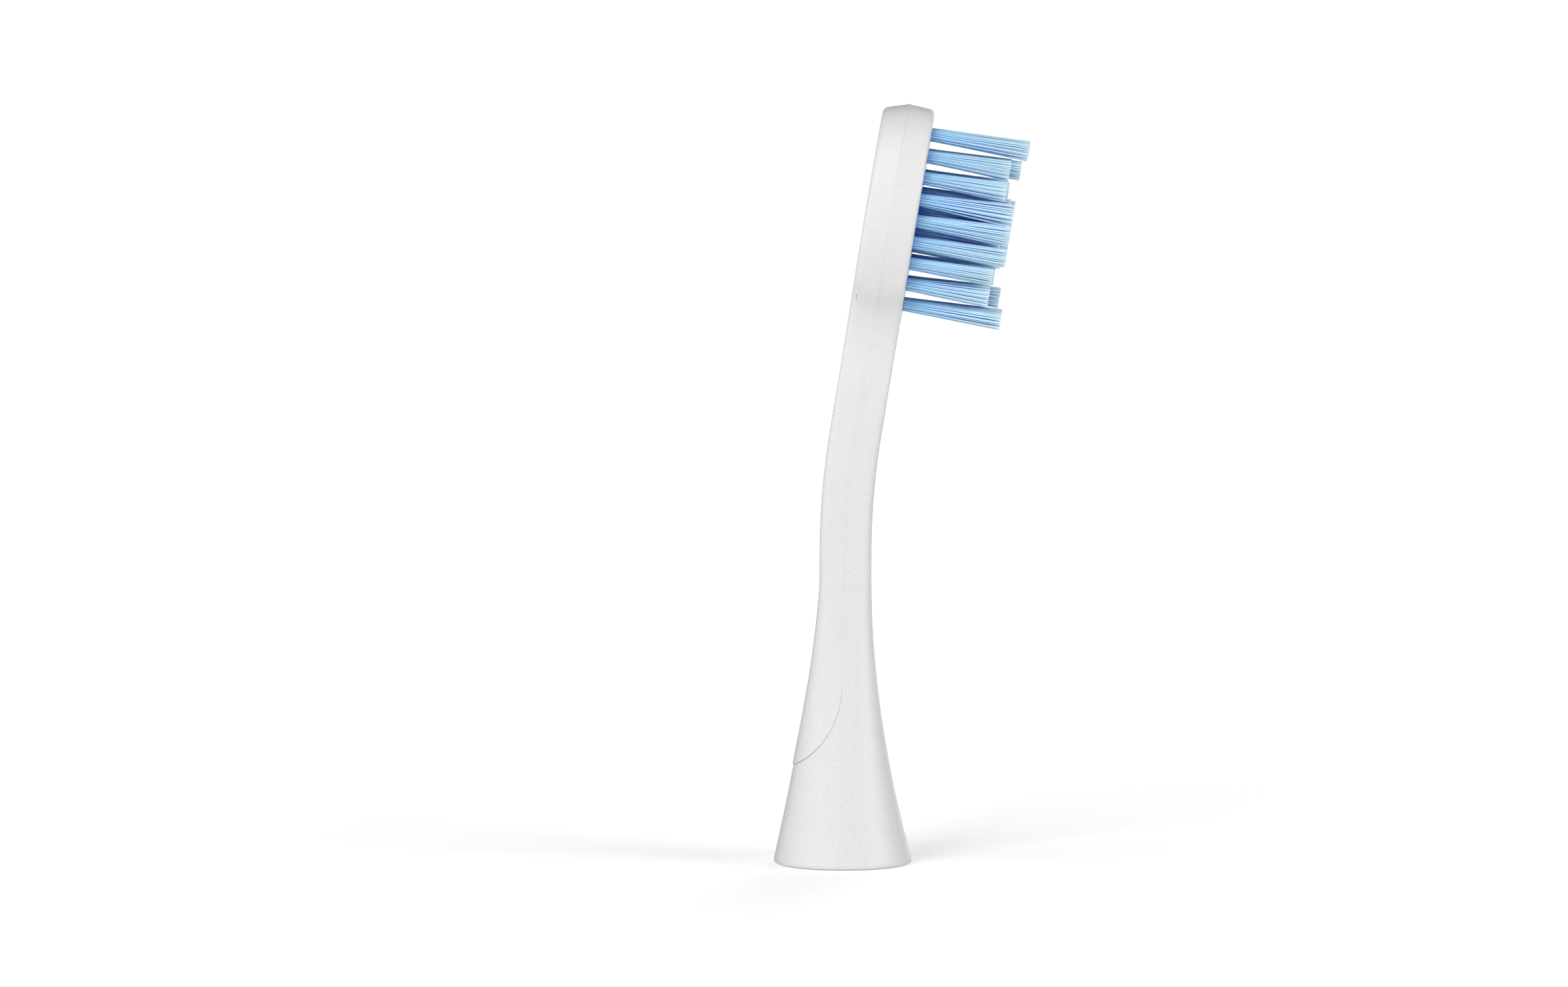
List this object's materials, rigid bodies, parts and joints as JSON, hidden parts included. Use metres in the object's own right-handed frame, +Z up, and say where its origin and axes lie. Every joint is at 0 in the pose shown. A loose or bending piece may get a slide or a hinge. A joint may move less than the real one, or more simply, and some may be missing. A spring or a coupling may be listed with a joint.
{
  "type": "toothbrush head",
  "caption": "Push-on head for an electric toothbrush: flared skirt, slim bent neck and oval plate with a field of stapled filament tufts; a keyed blind socket in the skirt takes the shaft.",
  "frame": {"origin": "centre of the skirt's bottom rim, on the axis of the shaft bore at its mouth", "axes": "+Z up the skirt along the shaft bore's axis, -Y the way the tufts face, +X across the head"},
  "size_m": [0.0146, 0.027, 0.08],
  "materials": {
    "white_plastic": "fine moulded grain",
    "nylon_filament": "translucent nylon filament",
    "acetal": "smooth moulded acetal",
    "spring_steel": "cold rolled",
    "staple_brass": "bright"
  },
  "bodies": {
    "root": {"anchor_staples": "staple_brass", "brush_body": "white_plastic", "shaft_insert": "acetal", "spring_clip": "spring_steel", "tuft_01": "nylon_filament", "tuft_02": "nylon_filament", "tuft_03": "nylon_filament", "tuft_04": "nylon_filament", "tuft_05": "nylon_filament", "tuft_06": "nylon_filament", "tuft_07": "nylon_filament", "tuft_08": "nylon_filament", "tuft_09": "nylon_filament", "tuft_10": "nylon_filament", "tuft_11": "nylon_filament", "tuft_12": "nylon_filament", "tuft_13": "nylon_filament", "tuft_14": "nylon_filament", "tuft_15": "nylon_filament", "tuft_16": "nylon_filament", "tuft_17": "nylon_filament", "tuft_18": "nylon_filament", "tuft_19": "nylon_filament", "tuft_20": "nylon_filament", "tuft_21": "nylon_filament", "tuft_22": "nylon_filament", "tuft_23": "nylon_filament", "tuft_24": "nylon_filament", "tuft_25": "nylon_filament", "tuft_26": "nylon_filament", "tuft_27": "nylon_filament", "tuft_28": "nylon_filament", "tuft_29": "nylon_filament", "tuft_30": "nylon_filament", "tuft_31": "nylon_filament", "tuft_32": "nylon_filament", "tuft_33": "nylon_filament"}
  },
  "joints": []
}
